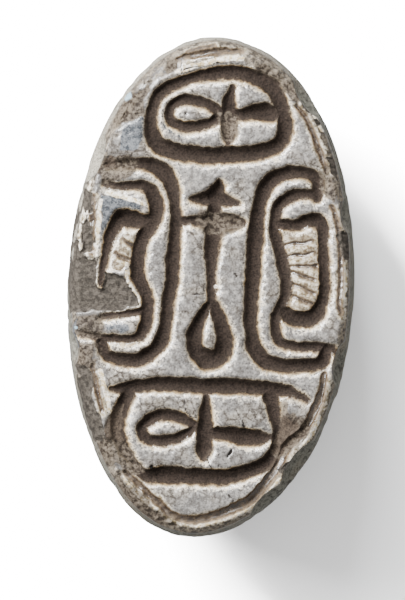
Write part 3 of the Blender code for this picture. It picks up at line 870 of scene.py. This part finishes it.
def glaze(tree, spot, field):
    """Silvery grey glaze, with paler warm clouds, rubbed spots, dark pinholes and fine cracks."""
    grain = field["grain"]
    clouds = field["clouds"]
    surface = coat(tree, "6C6966", "787572", "8E8A85", field["mottled"], field["blotches"],
                   0.36, 0.62)
    surface = coat(tree, surface, "787063", "948C80", field["mottled"], clouds, 0.46, 0.66, 0.7)
    surface = film(tree, surface, "ADA8A1", grain, 0.55, 0.68, 0.7)
    surface = film(tree, surface, "463E36", grain, 0.48, 0.35, 0.45)
    shift = add(tree, "ShaderNodeTexNoise", {"Vector": spot, "Detail": 2.0,
                                             "Scale": 2.5 / CRACKLE_BEND}, "Color")
    bent = add(tree, "ShaderNodeVectorMath", {0: shift, 1: (CRACKLE_BEND,) * 3, 2: spot},
               "Vector", operation="MULTIPLY_ADD")
    cells = add(tree, "ShaderNodeTexVoronoi", {"Vector": bent, "Scale": 1.0 / CRACKLE_SIZE},
                "Distance", feature="DISTANCE_TO_EDGE")
    cracked = add(tree, "ShaderNodeMapRange", {"Value": clouds, "From Min": 0.45, "From Max": 0.58,
                                               "To Max": 0.8}, "Result")
    return film(tree, surface, "352D26", cells, 0.085, 0.03, cracked)


def wear_coats(tree, surface, field):
    """The worn ring and the hoods of the snakes are browner than the glaze. Near a cut the glaze is paler,
    and the ridges are rubbed to cream. The lips of the cuts and lines are painted cream on the flank that
    faces the lamps, a painted highlight, more in some worn stretches."""
    mottled = field["mottled"]
    cut = field["cut_edge"]
    surface = coat(tree, surface, "3A3229", "857A69", mottled, field["rim"], 0.74, 1.1, 0.95)
    surface = coat(tree, surface, "634F34", "A59372", mottled, field["panel"], 0.6, 1.1, 0.7)
    worn = add(tree, "ShaderNodeMapRange", {"Value": field["blotches"], "From Min": 0.38,
                                            "From Max": 0.58, "To Min": 0.3}, "Result")
    surface = coat(tree, surface, "8F8475", "B3AC9F", mottled, cut, 1.02, 1.24, worn)
    surface = coat(tree, surface, "3C4045", "6E7175", mottled, field["slate"], 0.6, 0.8)
    # Painted highlight: cream on the lips of the flank that faces the lamps, more where the glaze is worn
    rubbed_and_lit = add(tree, "ShaderNodeMath", {0: field["easy"], 1: worn}, "Value",
                 operation="MULTIPLY")
    surface = coat(tree, surface, "CDB688", "F3E7D0", field["speckled"], cut, 1.1, 1.24, rubbed_and_lit)
    surface = coat(tree, surface, "A89468", "EAE2D2", mottled, field["line_edge"], 0.42, 0.62,
                   rubbed_and_lit)
    surface = coat(tree, surface, "C4AE80", "F8F2E6", mottled, field["ridge"], 0.8, 1.1)
    return film(tree, surface, "D1CCC4", field["specks"], 0.56, 0.76, 0.4)


def old_earth(tree, field):
    """Dull grey-brown earth with paler grains."""
    earth = film(tree, "433A32", "4F453C", field["grain"], 0.4, 0.62)
    return film(tree, earth, "6A5C4C", field["specks"], 0.54, 0.68, 0.5)


def cut_coats(tree, surface, earth, field):
    """Down a cut: golden brown flanks, then the earth, darkest along the middle of the floor. The colours
    are also painted light and shade: the golden brown lies mostly on the flank that faces the lamps, and
    on the shaded flank the dark brown and a paler earth start higher up, the paler earth lifting its
    shade.
    """
    speckled = field["speckled"]
    cut = field["cut_edge"]
    line = field["line_edge"]
    surface = coat(tree, surface, "4F4131", "7E6B53", field["mottled"], line, 0.58, 0.76)
    surface = coat(tree, surface, "382D24", "5A4C3C", field["mottled"], line, 0.9, 1.25)
    # Painted light: the golden brown is laid mostly on the flank that faces the lamps
    surface = coat(tree, surface, "55432E", "A58C66", speckled, cut, 1.24, 1.34, field["easy"])
    # Painted shade: the dark brown starts higher up the shaded flank
    surface = coat(tree, surface, "221C17", "3B3129", speckled, field["soiled_and_shaded"], 1.36, 1.54)
    # Painted light: the paler earth starts higher up the shaded flank to lift its shade; on the lit flank
    # the floor's darker coat covers it
    surface = film(tree, surface, earth, field["earth_and_shade"], 1.55, 1.9)
    surface = coat(tree, surface, "231D19", "352C26", speckled, cut, 1.54, 1.86)
    return film(tree, surface, "27211D", field["crack_edge"], 0.52, 0.8)


def side_stone(tree, field):
    """The side and back: grey stone with warm clouds and stains, partly under a pale crust that is painted
    on the side facing the lamps, so it is partly painted light.
    """
    speckled = field["speckled"]
    side = film(tree, "605F57", "87857A", field["grain"], 0.36, 0.62)
    side = coat(tree, side, "7C7263", "9E9686", speckled, field["clouds"], 0.48, 0.66, 0.7)
    side = film(tree, side, "3F382F", field["blotches"], 0.42, 0.3, 0.7)
    side = coat(tree, side, "7E786C", "ADA799", speckled, field["crust_and_light"], 1.3, 1.75)
    return film(tree, side, "4A4238", field["grain"], 0.42, 0.3, 0.6)


def set_sheen(tree, shader, field):
    """The glaze keeps a soft sheen, and earth, bare stone and the side are dull and grainy. The
    roughness is laid in coats too, as greys."""
    rough = coat(tree, "7C7C7C", "7C7C7C", "A8A8A8", field["mottled"], field["specks"], 0.2, 0.5)
    for name, start, full, strength in (
            ("bare", 0.62, 0.78, 0.9), ("stained", 0.8, 1.25, 1.0), ("filled", 0.8, 1.15, 1.0),
            ("rim", 0.95, 1.45, 0.6), ("side", 0.35, 0.75, 0.8), ("soiled_and_shaded", 1.34, 1.56, 1.0)):
        rough = film(tree, rough, "F4F4F4", field[name], start, full, strength)
    tree.links.new(rough, shader.inputs["Roughness"])
    sheen = add(tree, "ShaderNodeMapRange", {"Value": rough, "From Min": 0.35, "From Max": 0.85,
                                             "To Min": 1.0, "To Max": 0.15}, "Result")
    tree.links.new(sheen, shader.inputs["Specular IOR Level"])
    height = add(tree, "ShaderNodeMath", {0: field["specks"], 1: 0.5, 2: field["grain"]}, "Value",
                 operation="MULTIPLY_ADD")
    coarseness = add(tree, "ShaderNodeMapRange", {"Value": rough, "From Min": 0.35,
                                                  "From Max": 0.85, "To Min": 0.14}, "Result")
    bump = add(tree, "ShaderNodeBump", {"Height": height, "Strength": coarseness,
                                        "Distance": GRAIN_HEIGHT}, "Normal")
    tree.links.new(bump, shader.inputs["Normal"])


def worn_glazed_steatite():
    """Grey soapstone under a thin old glaze: silvery lands with a soft sheen and fine cracks, lips of the
    cuts painted bright cream as a highlight on the flank that faces the lamps, golden flanks painted
    mostly on that side, and dull dark earth in the cuts."""
    material = bpy.data.materials.new("worn_glazed_steatite")
    material.use_nodes = True
    tree = material.node_tree
    shader = tree.nodes["Principled BSDF"]
    spot = add(tree, "ShaderNodeTexCoord", {}, "Object")
    field = stone_fields(tree, spot)
    mottled = field["mottled"]
    earth = old_earth(tree, field)
    surface = glaze(tree, spot, field)
    surface = wear_coats(tree, surface, field)
    surface = cut_coats(tree, surface, earth, field)
    # Earth on the worn stretches, bare broken stone, the side, blue glaze, the bore and dark pores
    surface = coat(tree, surface, "342D27", "6C6256", mottled, field["stained"], 0.8, 1.25, 0.9)
    surface = film(tree, surface, earth, field["filled"], 0.8, 1.15, 0.95)
    surface = coat(tree, surface, "36322D", "544E47", mottled, field["bare"], 0.62, 0.78)
    surface = film(tree, surface, side_stone(tree, field), field["side"], 0.35, 0.75)
    surface = film(tree, surface, "99B3C0", field["blue"], 0.65, 0.87, 0.9)
    surface = film(tree, surface, earth, field["in_bore"], 0.94, 0.99)
    surface = film(tree, surface, "1B1511", field["specks"], 0.47, 0.32, 0.75)
    tree.links.new(surface, shader.inputs["Base Color"])
    set_sheen(tree, shader, field)
    return material


def white_card():
    """Matt white card, which looks even and nearly white."""
    material = bpy.data.materials.new("white_card")
    material.use_nodes = True
    shader = material.node_tree.nodes["Principled BSDF"]
    shader.inputs["Base Color"].default_value = colour("F2F2F2")
    shader.inputs["Roughness"].default_value = 0.9
    return material


# The floor reaches this many metres each way from its middle
FLOOR_REACH = 0.5


def make_floor():
    """The card under the stone, which throws no light back onto it."""
    bm = bmesh.new()
    bmesh.ops.create_grid(bm, x_segments=1, y_segments=1, size=FLOOR_REACH)
    floor = add_shape("floor", bm)
    floor.data.materials.append(white_card())
    floor.visible_diffuse = False
    floor.visible_glossy = False
    return floor


# How far the lamps that light everything stand from the stone, and their size, in metres. The
# pale room adds an even light.
LAMP_DISTANCE = 0.12
LAMP_SIZE = 0.022
ROOM_LIGHT = 0.54


def make_lamp(name, towards, distance, size, power):
    """A square soft white lamp in a direction from the stone, which it faces."""
    data = bpy.data.lights.new(name, "AREA")
    data.size = size
    data.energy = power
    lamp = add_object(name, data)
    direction = Vector(towards).normalized()
    lamp.location = direction * distance
    lamp.rotation_euler = direction.to_track_quat("Z", "Y").to_euler()
    return lamp


def light_only(lamp, thing):
    """Lets a lamp light one thing alone, though all things still shade it."""
    lit = bpy.data.collections.new(lamp.name + "_lights")
    lit.objects.link(thing)
    lamp.light_linking.receiver_collection = lit


def make_lamps(stone, floor):
    """Three lamps light everything from the upper left. A fourth picks out the stone's side, and
    two more light the floor alone: one throws the soft shadow, and one fills it."""
    for name, towards, power in (("key_lamp", (-0.7, 0.71, 0.92), 0.19),
                                 ("left_lamp", (-0.98, 0.2, 0.95), 0.15),
                                 ("top_lamp", (-0.2, 0.98, 0.95), 0.14)):
        make_lamp(name, towards, LAMP_DISTANCE, LAMP_SIZE, power)
    light_only(make_lamp("side_lamp", (-0.74, 0.67, 0.34), 0.1, 0.04, 0.1), stone)
    light_only(make_lamp("floor_lamp", (-0.75, 0.72, 0.57), 0.25, 0.12, 28.0), floor)
    light_only(make_lamp("floor_fill", (0.0, 0.0, 1.0), 0.25, 0.4, 0.85), floor)


def make_world():
    world = bpy.data.worlds.new("pale_room")
    world.use_nodes = True
    background = world.node_tree.nodes["Background"]
    background.inputs["Color"].default_value = colour("FFFFFF")
    background.inputs["Strength"].default_value = ROOM_LIGHT
    bpy.context.scene.world = world


# The camera looks straight down. The stone leans clockwise in the view, a little off its middle.
LENS = 400.0
SENSOR = 36.0
VIEW_HEIGHT = 21.34 * MM
LEAN = math.radians(3.1)
VIEW_MIDDLE = Vector((-0.268, -0.479, 0.0)) * MM


def make_camera():
    data = bpy.data.cameras.new("camera")
    data.lens = LENS
    data.sensor_width = SENSOR
    data.clip_start = 0.001
    data.clip_end = 10.0
    camera = add_object("camera", data)
    camera.rotation_euler = (0.0, 0.0, LEAN)
    middle = Matrix.Rotation(LEAN, 3, "Z") @ VIEW_MIDDLE
    sharp_height = HEIGHT - SIDE_HEIGHT / 3
    camera.location = (middle.x, middle.y, sharp_height + VIEW_HEIGHT * LENS / SENSOR)
    bpy.context.scene.camera = camera


stone = make_stone()
stone.data.materials.clear()
stone.data.materials.append(worn_glazed_steatite())
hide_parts("scaraboid_body")
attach(stone, "root")
floor = make_floor()
make_world()
make_lamps(stone, floor)
make_camera()
